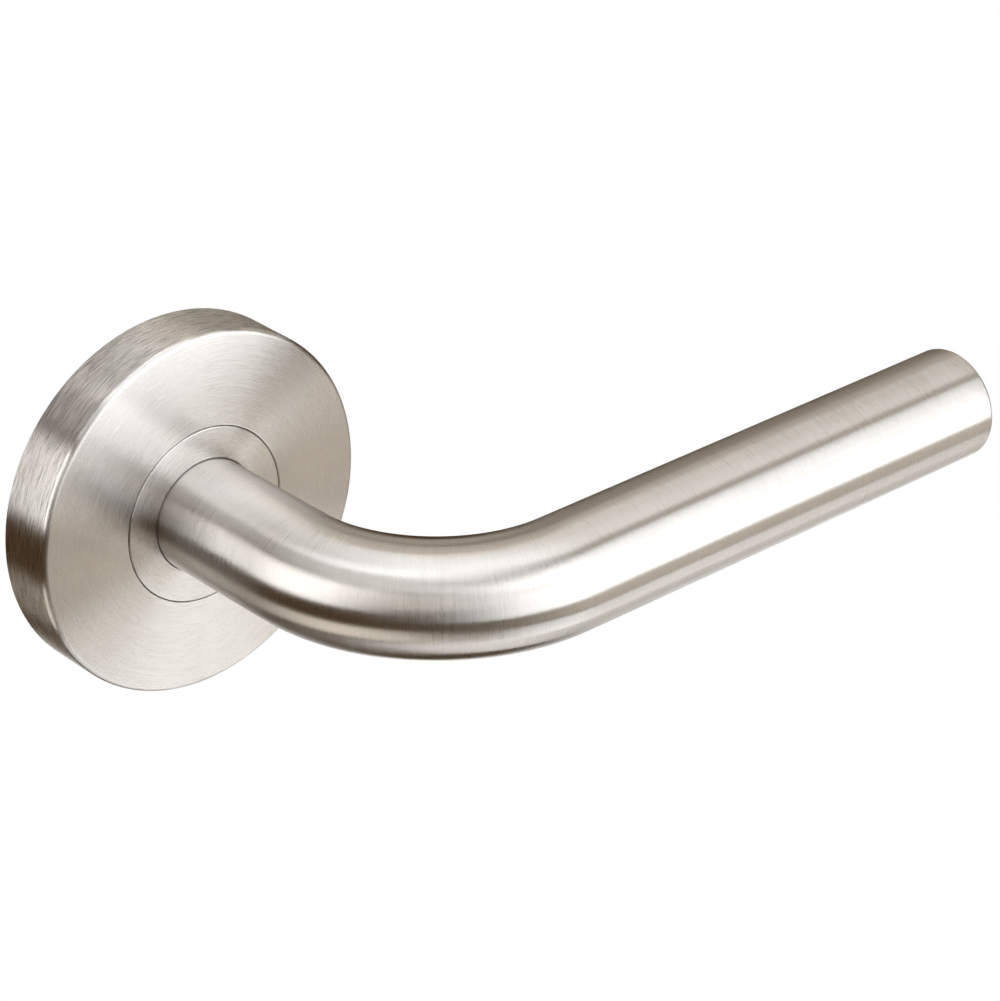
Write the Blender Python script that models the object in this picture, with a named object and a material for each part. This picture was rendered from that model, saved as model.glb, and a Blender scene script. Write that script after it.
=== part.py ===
"""A sprung door lever handle on a round rose, for one side of a door.

The frame's origin is on the spindle axis at the door's face. +Y goes into the door, +X runs along the grip
and +Z is up. A height is a distance in front of the door's face, so a point at height h has y = -h.
An angle round the spindle axis is measured from +X towards +Z.
"""

from math import asin, cos, degrees, pi, radians, sin

import bmesh
import bpy
from mathutils import Matrix, Vector

# Driving dimensions, in metres and degrees.
CLEARANCE = 0.0003  # between any two pieces that touch
SMALL_CHAMFER = 0.0002

ROSE_RADIUS = 0.0325
ROSE_RIM_HEIGHT = 0.0108
ROSE_FACE_RISE = 0.00055  # the face is a very flat cone that rises towards the collar
ROSE_WALL = 0.0010
ROSE_EDGE_ROUND = 0.0010

COLLAR_RADIUS = 0.0156
COLLAR_HEIGHT = 0.0115

TUBE_RADIUS = 0.0100
TUBE_WALL = 0.0015
GRIP_DISTANCE = 0.0660  # the grip's centreline from the door
BEND_RADIUS = 0.0307  # of the tube's centreline
GRIP_LENGTH = 0.1240  # from the spindle axis to the tip
TIP_ROUND = 0.0010

PLUG_RECESS = 0.0001  # how far the plug's face lies inside the tip

SPINDLE_SIDE = 0.0080
SPINDLE_EDGE_BEVEL = 0.0004
SPINDLE_INNER_END = 0.0300
SPINDLE_BEHIND_DOOR = 0.0220
HUB_FRONT = 0.0320
HUB_REAR = 0.0004
JOURNAL_RADIUS = 0.0080
HUB_HALF_FLATS = 0.0067
HUB_FLATS_HEIGHT = 0.00465
RING_GROOVE_RADIUS = 0.0073
RING_GROOVE = (0.0014, 0.0028)  # its lowest and highest height
GRUB_HEIGHT = 0.0200
GRUB_RADIUS = 0.0025  # M5
GRUB_POINT_CHAMFER = 0.0010
GRUB_KEY_RADIUS = 0.00144  # across the corners of a 2.5 mm hexagon
GRUB_KEY_DEPTH = 0.0025

BUSH_FRONT = 0.0099
BUSH_FLANGE = (0.0065, 0.0073)
BUSH_FLANGE_RADIUS = 0.0112
BUSH_RADIUS = 0.0100
WASHER_RADIUS = 0.0110
THRUST_WASHER = (0.00465, 0.00515)
WAVE_WASHER_MIDDLE = 0.00582
WAVE_WASHER_THICKNESS = 0.0003
WAVE_WASHER_LIFT = 0.0002
DRIVER = (0.00295, 0.00435)
CIRCLIP_CLEARANCE = 0.00025  # in the groove, on each side and at its bottom
CIRCLIP_RADIUS = 0.0090
CIRCLIP_EAR_RADIUS = 0.0108
CIRCLIP_EYE_CIRCLE = 0.0095
CIRCLIP_EYE_RADIUS = 0.0006

LEVER_TRAVEL = 45.0
LUG_ANGLE = 205.0
LUG_HALF_ANGLE = 8.0
LUG_RADII = (0.0094, 0.0109)
LUG_REAR = 0.0003
STOP_GAP_ANGLE = 1.7  # the clearance at the lug's radius
STOP_SLOT_RADIUS = 0.0114

SPRING_WIRE_RADIUS = 0.00065
SPRING_COIL_RADIUS = 0.0123
SPRING_TURNS = 3
SPRING_PITCH = 0.0014
SPRING_REAR_HEIGHT = 0.00195

HOUSING_INNER_RADIUS = 0.0133
HOUSING_OUTER_RADIUS = 0.0147
BASE_RADIUS = 0.0311
BASE_WEB_FRONT = 0.0030
BASE_RIM_INNER_RADIUS = 0.0284
BASE_RIM_FRONT = 0.0065
BASE_GROOVE = (0.0030, 0.0046)
BASE_GROOVE_RADIUS = 0.0296
CASSETTE_RECESS_RADIUS = 0.0203
CASSETTE_RECESS_DEPTH = 0.0012
CASSETTE_COVER = (0.0001, 0.0009)
CASSETTE_HOLE_RADIUS = 0.0084
CASSETTE_NOTCH_RADIUS = 0.0045
CASSETTE_SCREW_CIRCLE = 0.0172
CASSETTE_SCREW_RADIUS = 0.0011
CASSETTE_SCREW_TIP = 0.0049
CASSETTE_SCREW_HEAD = 0.0020  # its radius; the head is a cone of 90 degrees
CASSETTE_SCREW_REAR = 0.00015
CASSETTE_SINK_GAP = 0.0006  # between the countersink and the head, measured along the radius
SCREW_RECESS = (0.0022, 0.0012, 0.0005)
CASSETTE_SCREW_ANGLES = (45, 135, 225, 315)
RIB_FRONT = 0.0050
RIB_WIDTH = 0.0016
RIB_ANGLES = tuple(22.5 + 45 * rib for rib in range(8))

FIXING_CENTRES = 0.0380
SLEEVE_RADIUS = 0.0030
SLEEVE_BEHIND_DOOR = 0.0120
SLEEVE_THREAD_RADIUS = 0.00165  # M4 core
SLEEVE_HEAD_RADIUS = 0.0039
SLEEVE_HEAD_FRONT = 0.0053
SLEEVE_SLOT_WIDTH = 0.0010
SLEEVE_SLOT_DEPTH = 0.0010

GRIP_RING_WIRE_RADIUS = 0.0006
GRIP_RING_RADIUS = 0.0306
GRIP_RING_HEIGHT = 0.0038

ROUND_SIDES = 56
SMALL_SIDES = 36
SCREW_SIDES = 16
OVERLAP = 0.0005  # how far a shape that is joined by a Boolean reaches into its neighbour

STAINLESS = ("satin_stainless", (0.60, 0.57, 0.54), 0.30, 1.0)
TURNED_STAINLESS = ("turned_stainless", (0.62, 0.59, 0.56), 0.26, 1.0)
ZINC = ("cast_zinc", (0.42, 0.43, 0.44), 0.55, 1.0)
PLATED_STEEL = ("plated_steel", (0.66, 0.66, 0.62), 0.35, 1.0)
SPRING_STEEL = ("spring_steel", (0.22, 0.21, 0.20), 0.35, 1.0)
NYLON = ("white_nylon", (0.82, 0.81, 0.76), 0.45, 0.0)


def clear_scene():
    for thing in list(bpy.data.objects):
        bpy.data.objects.remove(thing, do_unlink=True)


def material(kind):
    """The Principled material of this kind, made once."""
    name, colour, roughness, metallic = kind
    made = bpy.data.materials.get(name)
    if made is None:
        made = bpy.data.materials.new(name)
        made.use_nodes = True
        shader = made.node_tree.nodes["Principled BSDF"]
        shader.inputs["Base Color"].default_value = (*colour, 1.0)
        shader.inputs["Roughness"].default_value = roughness
        shader.inputs["Metallic"].default_value = metallic
        made.diffuse_color = (*colour, 1.0)
    return made


def around(radius, angle, height):
    """The point at a radius and an angle round the spindle axis, at a height in front of the door."""
    turn = radians(angle)
    return Vector((radius * cos(turn), -height, radius * sin(turn)))


def arc(centre, radius, first, last, steps):
    """Points along an arc in the profile plane, from one angle in degrees to another."""
    turns = [radians(first + (last - first) * step / steps) for step in range(steps + 1)]
    return [(centre[0] + radius * cos(turn), centre[1] + radius * sin(turn)) for turn in turns]


def finish(name, mesh, kind, parent=None, crease=30.0):
    """Turns a bmesh into a smooth-shaded object with its faces pointing out."""
    bmesh.ops.remove_doubles(mesh, verts=mesh.verts, dist=1e-7)
    bmesh.ops.recalc_face_normals(mesh, faces=mesh.faces)
    data = bpy.data.meshes.new(name)
    mesh.to_mesh(data)
    mesh.free()
    data.shade_smooth()
    data.set_sharp_from_angle(angle=radians(crease))
    thing = bpy.data.objects.new(name, data)
    bpy.context.scene.collection.objects.link(thing)
    if kind:
        data.materials.append(material(kind))
    thing.parent = parent
    return thing


def turned(name, profile, kind=None, parent=None, sides=SMALL_SIDES):
    """A solid turned about the spindle axis from (radius, height) points.

    A profile that starts and ends on the axis makes a solid; any other is closed into a ring.
    """
    mesh = bmesh.new()
    points = [mesh.verts.new(around(radius, 0, height)) for radius, height in profile]
    pairs = list(zip(points, points[1:]))
    if profile[0][0] > 0:
        pairs.append((points[-1], points[0]))
    edges = [mesh.edges.new(pair) for pair in pairs]
    bmesh.ops.spin(
        mesh, geom=points + edges, axis=(0, 1, 0), cent=(0, 0, 0), angle=2 * pi, steps=sides, use_merge=True
    )
    return finish(name, mesh, kind, parent)


def prism(name, outline, low, high, kind=None, parent=None):
    """A flat plate between two heights, whose outline is a list of (x, z) points."""
    mesh = bmesh.new()
    face = mesh.faces.new([mesh.verts.new((x, -low, z)) for x, z in outline])
    made = bmesh.ops.extrude_face_region(mesh, geom=[face])["geom"]
    moved = [part for part in made if isinstance(part, bmesh.types.BMVert)]
    bmesh.ops.translate(mesh, verts=moved, vec=(0, low - high, 0))
    return finish(name, mesh, kind, parent)


def skinned(name, rings, kind, parent):
    """Quads between consecutive closed rings of points, and from the last ring back to the first."""
    mesh = bmesh.new()
    loops = [[mesh.verts.new(point) for point in ring] for ring in rings]
    for near, far in zip(loops, loops[1:] + loops[:1]):
        for side in range(len(near)):
            after = (side + 1) % len(near)
            mesh.faces.new((near[side], near[after], far[after], far[side]))
    return finish(name, mesh, kind, parent)


def wire(name, points, radius, kind, parent, resolution=2):
    """A round wire along a polyline, closed at both ends."""
    curve = bpy.data.curves.new(name, "CURVE")
    curve.dimensions = "3D"
    curve.bevel_depth = radius
    curve.bevel_resolution = resolution
    curve.use_fill_caps = True
    spline = curve.splines.new("POLY")
    spline.points.add(len(points) - 1)
    for target, point in zip(spline.points, points):
        target.co = (*point, 1)
    thing = bpy.data.objects.new(name, curve)
    bpy.context.scene.collection.objects.link(thing)
    curve.materials.append(material(kind))
    thing.parent = parent
    return thing


def block(name, size, centre, spin=0.0):
    """A box of a size (x, y, z) at a centre, turned about the spindle axis from +X towards +Z."""
    mesh = bmesh.new()
    bmesh.ops.create_cube(mesh, size=1.0)
    bmesh.ops.scale(mesh, vec=size, verts=mesh.verts)
    bmesh.ops.translate(mesh, vec=centre, verts=mesh.verts)
    bmesh.ops.rotate(mesh, cent=(0, 0, 0), matrix=Matrix.Rotation(radians(-spin), 3, "Y"), verts=mesh.verts)
    return finish(name, mesh, None)


def rod(name, radius, low, high, place=(0, 0), sides=SCREW_SIDES):
    """A plain cylinder along the spindle's direction between two heights, at an (x, z) place."""
    thing = turned(name, [(0, low), (radius, low), (radius, high), (0, high)], sides=sides)
    thing.location = (place[0], 0, place[1])
    return thing


def place_at(radius, angle):
    """The (x, z) place at a radius and an angle round the spindle axis."""
    point = around(radius, angle, 0)
    return point.x, point.z


def combine(target, helper, operation):
    """Joins a helper shape to the target, or cuts it from the target, with an exact Boolean."""
    step = target.modifiers.new(helper.name, "BOOLEAN")
    step.operation = operation
    step.object = helper
    step.solver = "EXACT"
    helper.hide_render = True
    helper.display_type = "WIRE"
    helper.parent = target


def cut(target, *helpers):
    for helper in helpers:
        combine(target, helper, "DIFFERENCE")


def join(target, *helpers):
    for helper in helpers:
        combine(target, helper, "UNION")


def pivot(name):
    """An empty on the spindle axis, which is the axis of both joints."""
    empty = bpy.data.objects.new(name, None)
    empty.empty_display_size = 0.02
    bpy.context.scene.collection.objects.link(empty)
    return empty


def sector(first, last, low, high, steps=8):
    """The (x, z) outline of an annular sector between two radii."""
    turns = [first + (last - first) * step / steps for step in range(steps + 1)]
    outer = [place_at(high, turn) for turn in turns]
    inner = [place_at(low, turn) for turn in reversed(turns)]
    return outer + inner


def double_d(radius, half_flats, steps=12):
    """The (x, z) outline of a circle cut by two flats that face +X and -X."""
    limit = degrees(asin(half_flats / radius))
    outline = []
    for middle in (90, 270):
        for step in range(steps + 1):
            outline.append(place_at(radius, middle - limit + 2 * limit * step / steps))
    return outline


# The lever.


def lever_stations():
    """Points and directions along the lever's centreline, from the collar to the tip's rounded edge."""
    bend_start = GRIP_DISTANCE - BEND_RADIUS
    bend_steps = 12
    stations = [(Vector((0, -BUSH_FRONT - CLEARANCE, 0)), Vector((0, -1, 0)))]
    for step in range(bend_steps + 1):
        turn = pi / 2 * step / bend_steps
        x = BEND_RADIUS * (1 - cos(turn))
        height = bend_start + BEND_RADIUS * sin(turn)
        stations.append((Vector((x, -height, 0)), Vector((sin(turn), -cos(turn), 0))))
    stations.append((Vector((GRIP_LENGTH - TIP_ROUND, -GRIP_DISTANCE, 0)), Vector((1, 0, 0))))
    return stations


def ring_at(point, direction, radius, sides):
    """A circle of points round a place on the centreline, square to its direction."""
    across = direction.cross(Vector((0, 0, 1)))
    turns = [2 * pi * side / sides for side in range(sides)]
    return [point + radius * (cos(turn) * across + sin(turn) * Vector((0, 0, 1))) for turn in turns]


def lever_tube(parent):
    """The hollow neck, elbow and grip. Its surface runs out along the outside and back along the bore."""
    sides = 32
    stations = lever_stations()
    rings = [ring_at(point, direction, TUBE_RADIUS, sides) for point, direction in stations]
    end, along = stations[-1]
    for radius, distance in arc((TUBE_RADIUS - TIP_ROUND, 0), TIP_ROUND, 30, 90, 2):
        rings.append(ring_at(end + along * distance, along, radius, sides))
    bore = TUBE_RADIUS - TUBE_WALL
    rings.append(ring_at(end + along * TIP_ROUND, along, bore, sides))
    rings += [ring_at(point, direction, bore, sides) for point, direction in reversed(stations[:-1])]
    tube = skinned("lever_tube", rings, STAINLESS, parent)
    cut(tube, grub_hole("tube_grub_hole"))
    return tube


def grip_end_plug(parent):
    """A cup-shaped disc inside the end of the grip, turned and then laid along +X."""
    radius = TUBE_RADIUS - TUBE_WALL - CLEARANCE
    wall = 0.0012
    disc = 0.0030
    depth = 0.0090
    profile = [
        (0, PLUG_RECESS),
        (radius - SMALL_CHAMFER, PLUG_RECESS),
        (radius, PLUG_RECESS + SMALL_CHAMFER),
        (radius, depth),
        (radius - wall, depth),
        (radius - wall, disc),
        (0, disc),
    ]
    plug = turned("grip_end_plug", profile, TURNED_STAINLESS, parent, sides=32)
    tip = Matrix.Translation((GRIP_LENGTH, -GRIP_DISTANCE, 0))
    plug.matrix_local = tip @ Matrix.Rotation(-pi / 2, 4, "Z")
    return plug


def grub_hole(name):
    """The radial hole under the neck for the grub screw, reaching from the socket to outside the tube."""
    hole = rod(name, GRUB_RADIUS + CLEARANCE, SPINDLE_SIDE / 2 - OVERLAP, TUBE_RADIUS + OVERLAP)
    hole.matrix_local = Matrix.Translation((0, -GRUB_HEIGHT, 0)) @ Matrix.Rotation(pi / 2, 4, "X")
    return hole


def lever_hub(parent):
    """The insert in the neck: the bearing journal, the ring groove, two driving flats and square socket."""
    fit = TUBE_RADIUS - TUBE_WALL - CLEARANCE
    chamfer = 0.0005
    low, high = RING_GROOVE
    profile = [
        (0, HUB_FRONT),
        (fit - chamfer, HUB_FRONT),
        (fit, HUB_FRONT - chamfer),
        (fit, BUSH_FRONT + CLEARANCE),
        (JOURNAL_RADIUS, BUSH_FRONT + CLEARANCE),
        (JOURNAL_RADIUS, high),
        (RING_GROOVE_RADIUS, high),
        (RING_GROOVE_RADIUS, low),
        (JOURNAL_RADIUS, low),
        (JOURNAL_RADIUS, HUB_REAR + CLEARANCE),
        (JOURNAL_RADIUS - CLEARANCE, HUB_REAR),
        (0, HUB_REAR),
    ]
    hub = turned("lever_hub", profile, ZINC, parent)
    slab, length = 0.0040, 0.0200
    height = HUB_FLATS_HEIGHT + OVERLAP
    for side in (-1, 1):
        centre = (side * (HUB_HALF_FLATS + slab / 2), -HUB_FLATS_HEIGHT + height / 2, 0)
        cut(hub, block(f"hub_flat_{side}", (slab, height, length), centre))
    socket = SPINDLE_SIDE + 2 * CLEARANCE
    depth = SPINDLE_INNER_END + OVERLAP
    size = (socket, depth + OVERLAP, socket)
    cut(hub, block("hub_socket", size, (0, (OVERLAP - depth) / 2, 0)), grub_hole("hub_grub_hole"))
    return hub


def lever_grub_screw(parent):
    """A hexagon socket set screw below the spindle, standing along Z."""
    tip = SPINDLE_SIDE / 2 + CLEARANCE
    head = TUBE_RADIUS - SMALL_CHAMFER
    chamfer = 0.0005
    profile = [
        (0, tip),
        (GRUB_RADIUS - GRUB_POINT_CHAMFER, tip),
        (GRUB_RADIUS, tip + GRUB_POINT_CHAMFER),
        (GRUB_RADIUS, head - chamfer),
        (GRUB_RADIUS - chamfer, head),
        (0, head),
    ]
    screw = turned("lever_grub_screw", profile, PLATED_STEEL, parent, sides=SCREW_SIDES)
    key = rod("grub_key", GRUB_KEY_RADIUS, head - GRUB_KEY_DEPTH, head + OVERLAP, sides=6)
    cut(screw, key)
    screw.matrix_local = Matrix.Translation((0, -GRUB_HEIGHT, 0)) @ Matrix.Rotation(pi / 2, 4, "X")
    return screw


def spindle(parent):
    """The square half spindle, from inside the hub to behind the door's face."""
    length = SPINDLE_INNER_END + SPINDLE_BEHIND_DOOR
    bar = block("spindle", (SPINDLE_SIDE, length, SPINDLE_SIDE), (0, SPINDLE_BEHIND_DOOR - length / 2, 0))
    bar.data.materials.append(material(PLATED_STEEL))
    bevel = bar.modifiers.new("edges", "BEVEL")
    bevel.width = SPINDLE_EDGE_BEVEL
    bevel.segments = 1
    bar.parent = parent
    return bar


def spring_driver(parent):
    """The plate keyed on the hub's flats. Its rear lug winds the spring and meets the end stops."""
    low, high = DRIVER
    plate = turned(
        "spring_driver",
        [(0, low), (WASHER_RADIUS, low), (WASHER_RADIUS, high), (0, high)],
        PLATED_STEEL,
        parent,
    )
    lug_outline = sector(LUG_ANGLE - LUG_HALF_ANGLE, LUG_ANGLE + LUG_HALF_ANGLE, *LUG_RADII)
    join(plate, prism("driver_lug", lug_outline, LUG_REAR, low + OVERLAP))
    keyway = double_d(JOURNAL_RADIUS + CLEARANCE, HUB_HALF_FLATS + CLEARANCE)
    cut(plate, prism("driver_keyway", keyway, low - OVERLAP, high + OVERLAP))
    return plate


def retaining_ring(parent):
    """An external circlip in the hub's groove, open towards the side opposite the driver's lug."""
    low, high = RING_GROOVE[0] + CIRCLIP_CLEARANCE, RING_GROOVE[1] - CIRCLIP_CLEARANCE
    middle = LUG_ANGLE - 180
    gap, ear = 14, 16
    inner = RING_GROOVE_RADIUS + CIRCLIP_CLEARANCE
    first, last = middle + gap, middle + 360 - gap
    steps = 30
    outline = []
    for step in range(steps + 1):
        turn = first + (last - first) * step / steps
        in_ear = min(turn - first, last - turn) < ear
        outline.append(place_at(CIRCLIP_EAR_RADIUS if in_ear else CIRCLIP_RADIUS, turn))
    for step in range(steps, -1, -1):
        outline.append(place_at(inner, first + (last - first) * step / steps))
    ring = prism("retaining_ring", outline, low, high, SPRING_STEEL, parent)
    for side, turn in enumerate((first + ear / 2, last - ear / 2)):
        place = place_at(CIRCLIP_EYE_CIRCLE, turn)
        cut(ring, rod(f"ring_eye_{side}", CIRCLIP_EYE_RADIUS, low - OVERLAP, high + OVERLAP, place, 10))
    return ring


def thrust_washer(parent):
    low, high = THRUST_WASHER
    inner = JOURNAL_RADIUS + CLEARANCE
    profile = [(inner, low), (WASHER_RADIUS, low), (WASHER_RADIUS, high), (inner, high)]
    return turned("thrust_washer", profile, PLATED_STEEL, parent)


def wave_washer(parent):
    """A thin spring washer with three waves round its circle."""
    waves, sides = 3, 42
    inner, outer = 0.0084, 0.0109
    rings = []
    for side in range(sides):
        angle = 360 * side / sides
        middle = WAVE_WASHER_MIDDLE + WAVE_WASHER_LIFT * cos(radians(waves * angle))
        low, high = middle - WAVE_WASHER_THICKNESS / 2, middle + WAVE_WASHER_THICKNESS / 2
        corners = ((inner, low), (outer, low), (outer, high), (inner, high))
        rings.append([around(radius, angle, height) for radius, height in corners])
    return skinned("wave_washer", rings, SPRING_STEEL, parent)


# The parts that stay on the door.


def base_plate(parent):
    """The die-cast inner rose: spring housing, web with ribs and screw bosses, and grooved rim."""
    bore = BUSH_RADIUS + CLEARANCE
    chamber_front = BUSH_FLANGE[1] + CLEARANCE
    groove_low, groove_high = BASE_GROOVE
    profile = [
        (bore, BUSH_FRONT),
        (bore, chamber_front),
        (HOUSING_INNER_RADIUS, chamber_front),
        (HOUSING_INNER_RADIUS, CASSETTE_RECESS_DEPTH),
        (CASSETTE_RECESS_RADIUS, CASSETTE_RECESS_DEPTH),
        (CASSETTE_RECESS_RADIUS, 0),
        (BASE_RADIUS, 0),
        (BASE_RADIUS, groove_low),
        (BASE_GROOVE_RADIUS, groove_low),
        (BASE_GROOVE_RADIUS, groove_high),
        (BASE_RADIUS, groove_high),
        (BASE_RADIUS, BASE_RIM_FRONT),
        (BASE_RIM_INNER_RADIUS, BASE_RIM_FRONT),
        (BASE_RIM_INNER_RADIUS, BASE_WEB_FRONT),
        (HOUSING_OUTER_RADIUS, BASE_WEB_FRONT),
        (HOUSING_OUTER_RADIUS, BUSH_FRONT),
    ]
    plate = turned("base_plate", profile, ZINC, parent, sides=ROUND_SIDES)
    add_ribs(plate)
    add_screw_bosses(plate)
    for side in (-1, 1):
        place = (0, side * FIXING_CENTRES / 2)
        rear, front = -2 * OVERLAP, BASE_WEB_FRONT + 2 * OVERLAP
        cut(plate, rod(f"base_fixing_{side}", SLEEVE_RADIUS + CLEARANCE, rear, front, place, 24))
    cut(plate, spring_anchor_slot())
    return plate


def add_ribs(plate):
    """Radial ribs on the web between the housing and the rim."""
    inner = HOUSING_OUTER_RADIUS - OVERLAP
    outer = BASE_RIM_INNER_RADIUS + OVERLAP
    low = BASE_WEB_FRONT - OVERLAP
    size = (outer - inner, RIB_FRONT - low, RIB_WIDTH)
    centre = ((inner + outer) / 2, -(low + RIB_FRONT) / 2, 0)
    for number, angle in enumerate(RIB_ANGLES):
        join(plate, block(f"base_rib_{number}", size, centre, angle))


def add_screw_bosses(plate):
    """Bosses in front of the web, drilled from behind for the cassette screws."""
    boss_radius = 0.0027
    boss_front = 0.0060
    hole_end = CASSETTE_SCREW_TIP + CLEARANCE
    for number, angle in enumerate(CASSETTE_SCREW_ANGLES):
        place = place_at(CASSETTE_SCREW_CIRCLE, angle)
        join(plate, rod(f"base_boss_{number}", boss_radius, BASE_WEB_FRONT - OVERLAP, boss_front, place))
    for number, angle in enumerate(CASSETTE_SCREW_ANGLES):
        place = place_at(CASSETTE_SCREW_CIRCLE, angle)
        radius, hole_start = CASSETTE_SCREW_RADIUS + CLEARANCE, CASSETTE_RECESS_DEPTH / 2
        cut(plate, rod(f"base_drilling_{number}", radius, hole_start, hole_end, place))


def spring_leg_angle():
    """Where the spring's moving leg lies beside the lug, on the side that the lug pushes."""
    gap = CLEARANCE + SPRING_WIRE_RADIUS
    return LUG_ANGLE - LUG_HALF_ANGLE - degrees(asin(gap / LUG_RADII[0]))


def spring_front_height():
    return SPRING_REAR_HEIGHT + SPRING_TURNS * SPRING_PITCH


def spring_anchor_slot():
    """The window in the housing's wall that holds the spring's fixed leg."""
    width = 2 * (SPRING_WIRE_RADIUS + CLEARANCE)
    inner, outer = HOUSING_INNER_RADIUS - OVERLAP, HOUSING_OUTER_RADIUS + OVERLAP
    centre = ((inner + outer) / 2, -spring_front_height(), 0)
    return block("spring_anchor_slot", (outer - inner, width, width), centre, spring_leg_angle())


def return_spring(parent):
    """The torsion spring: a leg inwards to the driver's lug, three turns, and a leg out to the housing."""
    start = spring_leg_angle()
    steps_per_turn = 18
    leg_inner, leg_outer = 0.0098, 0.0144
    points = [around(leg_inner, start, SPRING_REAR_HEIGHT)]
    for step in range(SPRING_TURNS * steps_per_turn + 1):
        turns = step / steps_per_turn
        height = SPRING_REAR_HEIGHT + turns * SPRING_PITCH
        points.append(around(SPRING_COIL_RADIUS, start + 360 * turns, height))
    points.append(around(leg_outer, start, spring_front_height()))
    return wire("return_spring", points, SPRING_WIRE_RADIUS, SPRING_STEEL, parent)


def bearing_bush(parent):
    """The flanged nylon bush between the hub's journal and the housing."""
    bore = JOURNAL_RADIUS + CLEARANCE
    low, high = BUSH_FLANGE
    profile = [
        (bore, low),
        (BUSH_FLANGE_RADIUS, low),
        (BUSH_FLANGE_RADIUS, high),
        (BUSH_RADIUS, high),
        (BUSH_RADIUS, BUSH_FRONT),
        (bore, BUSH_FRONT),
    ]
    return turned("bearing_bush", profile, NYLON, parent)


def face_slope():
    """The rise of the rose's face for each metre towards its middle. The collar's face carries it on."""
    return ROSE_FACE_RISE / (ROSE_RADIUS - ROSE_EDGE_ROUND - COLLAR_RADIUS - CLEARANCE)


def neck_collar(parent):
    """The turned ring in the middle of the rose, pressed over the front of the spring housing."""
    bore = TUBE_RADIUS + CLEARANCE
    skirt_inner = HOUSING_OUTER_RADIUS + CLEARANCE
    rear = BUSH_FRONT + CLEARANCE
    skirt_rear = 0.0080
    edge_height = COLLAR_HEIGHT - (COLLAR_RADIUS - bore) * face_slope()
    profile = [
        (bore, rear),
        (skirt_inner, rear),
        (skirt_inner, skirt_rear),
        (COLLAR_RADIUS, skirt_rear),
        (COLLAR_RADIUS, edge_height - SMALL_CHAMFER),
        (COLLAR_RADIUS - SMALL_CHAMFER, edge_height),
        (bore + SMALL_CHAMFER, COLLAR_HEIGHT),
        (bore, COLLAR_HEIGHT - SMALL_CHAMFER),
    ]
    return turned("neck_collar", profile, TURNED_STAINLESS, parent, sides=48)


def cassette_cover(parent):
    """The plate over the spring housing, with the arc slot whose ends stop the driver's lug."""
    low, high = CASSETTE_COVER
    edge = CASSETTE_RECESS_RADIUS - CLEARANCE
    plate = turned(
        "cassette_cover",
        [(CASSETTE_HOLE_RADIUS, low), (edge, low), (edge, high), (CASSETTE_HOLE_RADIUS, high)],
        PLATED_STEEL,
        parent,
        sides=48,
    )
    rear, front = low - OVERLAP, high + OVERLAP
    first = LUG_ANGLE - LUG_HALF_ANGLE - LEVER_TRAVEL - STOP_GAP_ANGLE
    last = LUG_ANGLE + LUG_HALF_ANGLE + STOP_GAP_ANGLE
    slot = sector(first, last, CASSETTE_HOLE_RADIUS - OVERLAP, STOP_SLOT_RADIUS, 16)
    cut(plate, prism("stop_slot", slot, rear, front))
    for side in (-1, 1):
        place = (0, side * FIXING_CENTRES / 2)
        cut(plate, rod(f"cover_notch_{side}", CASSETTE_NOTCH_RADIUS, rear, front, place, 24))
    wide = CASSETTE_SCREW_HEAD + CASSETTE_SINK_GAP
    sink_profile = [(0, rear), (wide + CASSETTE_SCREW_REAR - rear, rear)]
    sink_profile += [(wide + CASSETTE_SCREW_REAR - front, front), (0, front)]
    for number, angle in enumerate(CASSETTE_SCREW_ANGLES):
        sink = turned(f"cover_sink_{number}", sink_profile, sides=SCREW_SIDES)
        x, z = place_at(CASSETTE_SCREW_CIRCLE, angle)
        sink.location = (x, 0, z)
        cut(plate, sink)
    return plate


def cassette_screw(number, angle, parent):
    """A countersunk cross-recessed screw, driven from behind into one of the base plate's bosses."""
    chamfer = 0.0003
    low = CASSETTE_SCREW_REAR
    neck = low + CASSETTE_SCREW_HEAD - CASSETTE_SCREW_RADIUS
    profile = [
        (0, low),
        (CASSETTE_SCREW_HEAD, low),
        (CASSETTE_SCREW_RADIUS, neck),
        (CASSETTE_SCREW_RADIUS, CASSETTE_SCREW_TIP - chamfer),
        (CASSETTE_SCREW_RADIUS - chamfer, CASSETTE_SCREW_TIP),
        (0, CASSETTE_SCREW_TIP),
    ]
    screw = turned(f"cassette_screw_{number}", profile, PLATED_STEEL, parent, sides=SCREW_SIDES)
    x, z = place_at(CASSETTE_SCREW_CIRCLE, angle)
    screw.location = (x, 0, z)
    for turn in (0, 90):
        cut(screw, block(f"screw_{number}_recess_{turn}", SCREW_RECESS, (0, 0, 0), turn))
    return screw


def cover_retaining_ring(parent):
    """The split wire ring in the rim's groove that grips the cover rose from inside."""
    steps = 48
    gap = 10
    points = []
    for step in range(steps + 1):
        angle = -90 + gap + (360 - 2 * gap) * step / steps
        points.append(around(GRIP_RING_RADIUS, angle, GRIP_RING_HEIGHT))
    return wire("cover_retaining_ring", points, GRIP_RING_WIRE_RADIUS, SPRING_STEEL, parent, resolution=1)


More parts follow.
